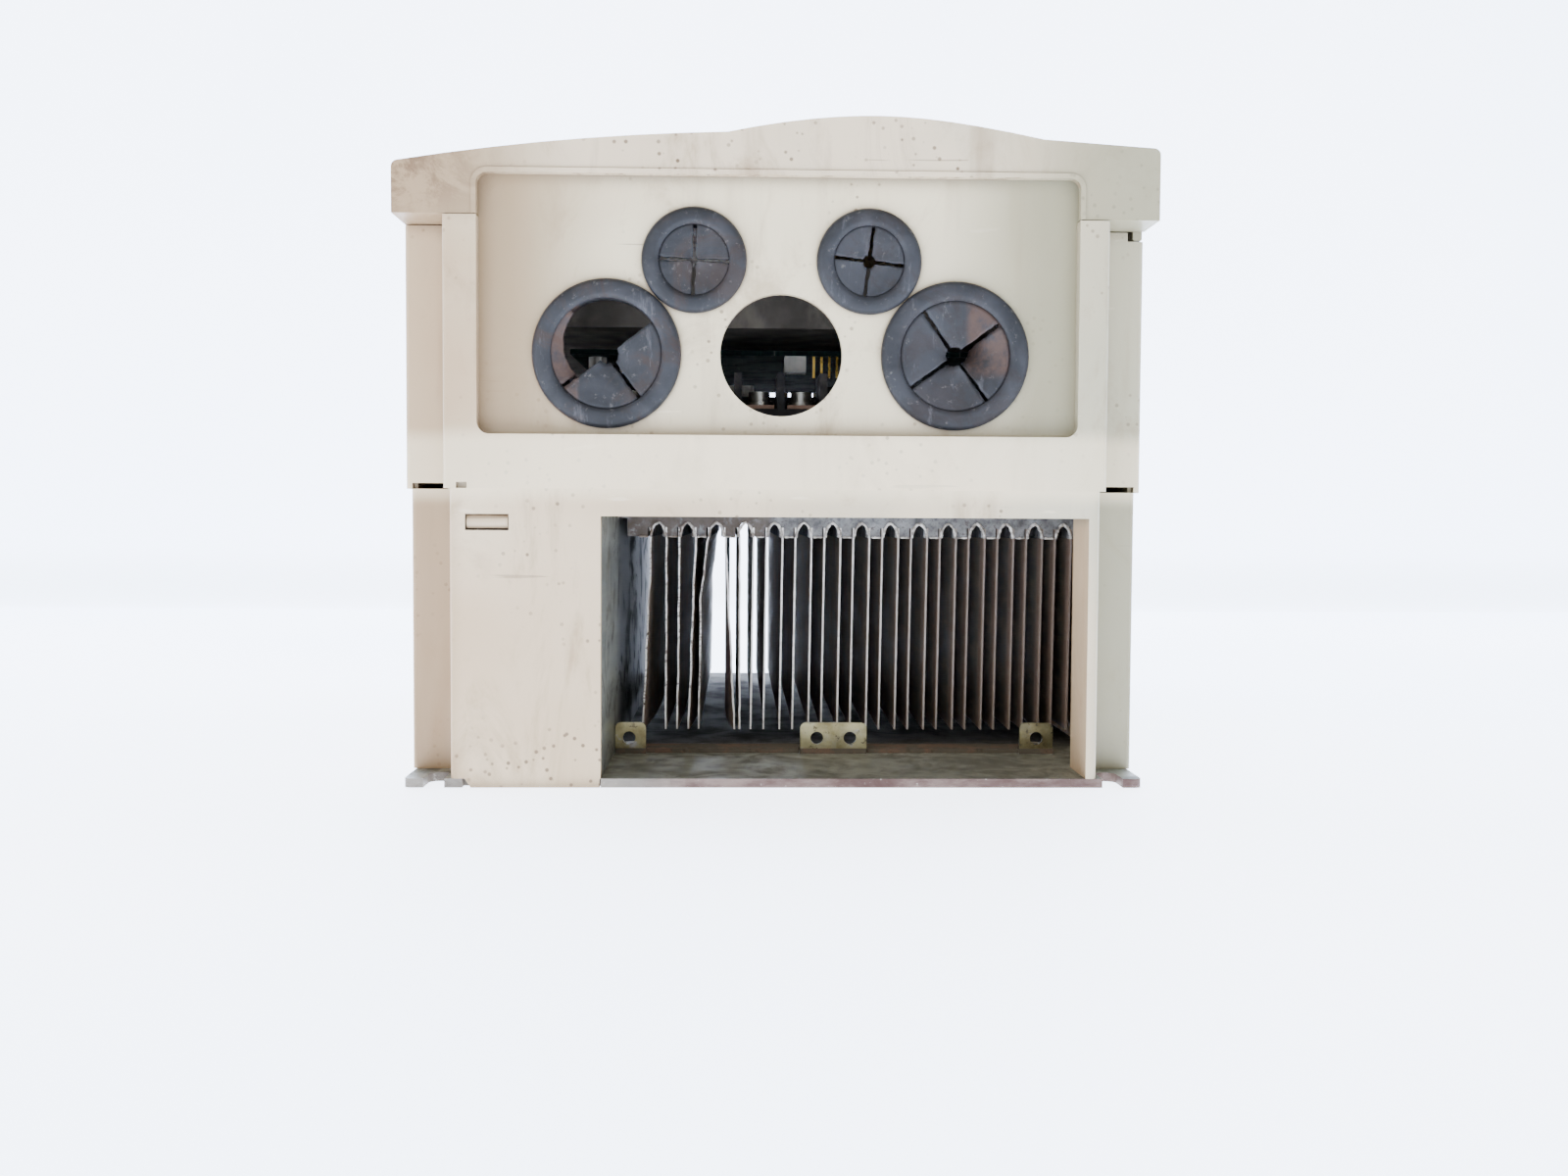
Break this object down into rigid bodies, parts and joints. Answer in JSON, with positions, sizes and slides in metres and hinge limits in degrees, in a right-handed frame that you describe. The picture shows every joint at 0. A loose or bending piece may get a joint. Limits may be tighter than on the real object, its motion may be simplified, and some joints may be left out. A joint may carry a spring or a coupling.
{
  "type": "variable frequency motor drive",
  "caption": "Wall-mounted motor drive in a beige plastic case with a finned air duct, cable entry plate, hinged front cover and operation panel.",
  "frame": {"origin": "centre of the back of the mounting plate", "axes": "+Z out of the plate towards the front cover, +Y from the cable entry end to the air outlet end, +X across the case"},
  "size_m": [0.2174, 0.3, 0.1909],
  "materials": {
    "case_plastic": "aged beige moulded plastic, satin",
    "cover_plastic": "aged beige moulded plastic, satin",
    "plate_plastic": "beige moulded plastic, slightly greener",
    "dark_plastic": "dark moulded plastic",
    "key_plastic": "dark grey moulded plastic",
    "stop_plastic": "red moulded plastic",
    "white_plastic": "white moulded plastic",
    "window_plastic": "smoked clear plastic",
    "lamp_plastic": "clear tinted plastic",
    "rubber": "slate grey rubber",
    "plate_steel": "galvanised steel, dull, rust at the edges",
    "zinc_steel": "yellow zinc plated steel",
    "screw_steel": "bright zinc plated steel",
    "aluminium": "bare aluminium, dull and stained",
    "copper": "tinned and bare copper",
    "gold": "gold plated pins",
    "board": "green glass fibre board",
    "module": "black potted module",
    "sleeve": "shrink sleeve"
  },
  "bodies": {
    "case": {"mounting_plate": "plate_steel", "duct_side_wall": "plate_steel", "fan_tab_left": "zinc_steel", "fan_tab_middle": "zinc_steel", "fan_tab_right": "zinc_steel", "tab_rivets": "screw_steel", "lower_case": "case_plastic", "duct_rivet": "screw_steel", "heatsink_base": "aluminium", "heatsink_fins": "aluminium", "upper_case": "case_plastic", "case_screws": "screw_steel", "earth_screws": "zinc_steel", "cable_plate": "plate_plastic", "grommet_large_left": "rubber", "grommet_large_right": "rubber", "grommet_small_left": "rubber", "grommet_small_right": "rubber", "diode_module": "module", "transistor_module": "module", "module_screws": "screw_steel", "bus_capacitors": "sleeve", "power_board": "board", "board_standoffs": "screw_steel", "current_sensors": "dark_plastic", "inrush_relay": "white_plastic", "transformer": "dark_plastic", "bus_bars": "copper", "charge_lamp": "lamp_plastic", "main_terminal_block": "dark_plastic", "main_terminal_plates": "copper", "main_terminal_screws": "screw_steel", "drive_board": "board", "drive_board_spacers": "screw_steel", "drive_connector": "white_plastic", "pin_header": "gold", "control_tray": "case_plastic", "control_board": "board", "board_screws": "screw_steel", "control_terminal_block": "white_plastic", "control_terminal_screws": "screw_steel", "panel_socket": "dark_plastic"},
    "cover": {"front_cover": "cover_plastic", "cover_screws": "screw_steel"},
    "catch": {"cover_catch": "cover_plastic"},
    "panel": {"panel_housing": "dark_plastic", "display_window": "window_plastic", "display_module": "dark_plastic", "status_lights": "lamp_plastic", "panel_board": "board", "panel_plug": "dark_plastic", "key_switches": "dark_plastic", "dial_encoder": "screw_steel"},
    "dial": {"setting_dial": "white_plastic"},
    "key_mode": {"key_mode": "key_plastic"},
    "key_set": {"key_set": "key_plastic"},
    "key_source": {"key_source": "key_plastic"},
    "key_reverse": {"key_reverse": "key_plastic"},
    "key_forward": {"key_forward": "key_plastic"},
    "key_stop": {"key_stop": "stop_plastic"}
  },
  "joints": [
    {"name": "cover_hinge", "type": "hinge", "parent": "case", "child": "cover", "pos_m": [-0.1087, 0, 0.16235], "axis": [0, -1, 0], "range_deg": [0, 100]},
    {"name": "catch_slide", "type": "slide", "parent": "cover", "child": "catch", "axis": [-1, 0, 0], "range_m": [0, 0.001], "stiffness_N_per_m": 400, "springref_m": -0.001},
    {"name": "panel_slide", "type": "slide", "parent": "cover", "child": "panel", "axis": [0, 0, 1], "range_m": [0, 0.03]},
    {"name": "dial_turn", "type": "hinge", "parent": "panel", "child": "dial", "pos_m": [0.0105, 0.0495, 0.1885], "axis": [0, 0, 1], "continuous": true},
    {"name": "key_mode_press", "type": "slide", "parent": "panel", "child": "key_mode", "axis": [0, 0, -1], "range_m": [0, 0.0007], "stiffness_N_per_m": 400, "springref_m": -0.0005},
    {"name": "key_set_press", "type": "slide", "parent": "panel", "child": "key_set", "axis": [0, 0, -1], "range_m": [0, 0.0007], "stiffness_N_per_m": 400, "springref_m": -0.0005},
    {"name": "key_source_press", "type": "slide", "parent": "panel", "child": "key_source", "axis": [0, 0, -1], "range_m": [0, 0.0007], "stiffness_N_per_m": 400, "springref_m": -0.0005},
    {"name": "key_reverse_press", "type": "slide", "parent": "panel", "child": "key_reverse", "axis": [0, 0, -1], "range_m": [0, 0.0007], "stiffness_N_per_m": 400, "springref_m": -0.0005},
    {"name": "key_forward_press", "type": "slide", "parent": "panel", "child": "key_forward", "axis": [0, 0, -1], "range_m": [0, 0.0007], "stiffness_N_per_m": 400, "springref_m": -0.0005},
    {"name": "key_stop_press", "type": "slide", "parent": "panel", "child": "key_stop", "axis": [0, 0, -1], "range_m": [0, 0.0007], "stiffness_N_per_m": 400, "springref_m": -0.0005}
  ]
}
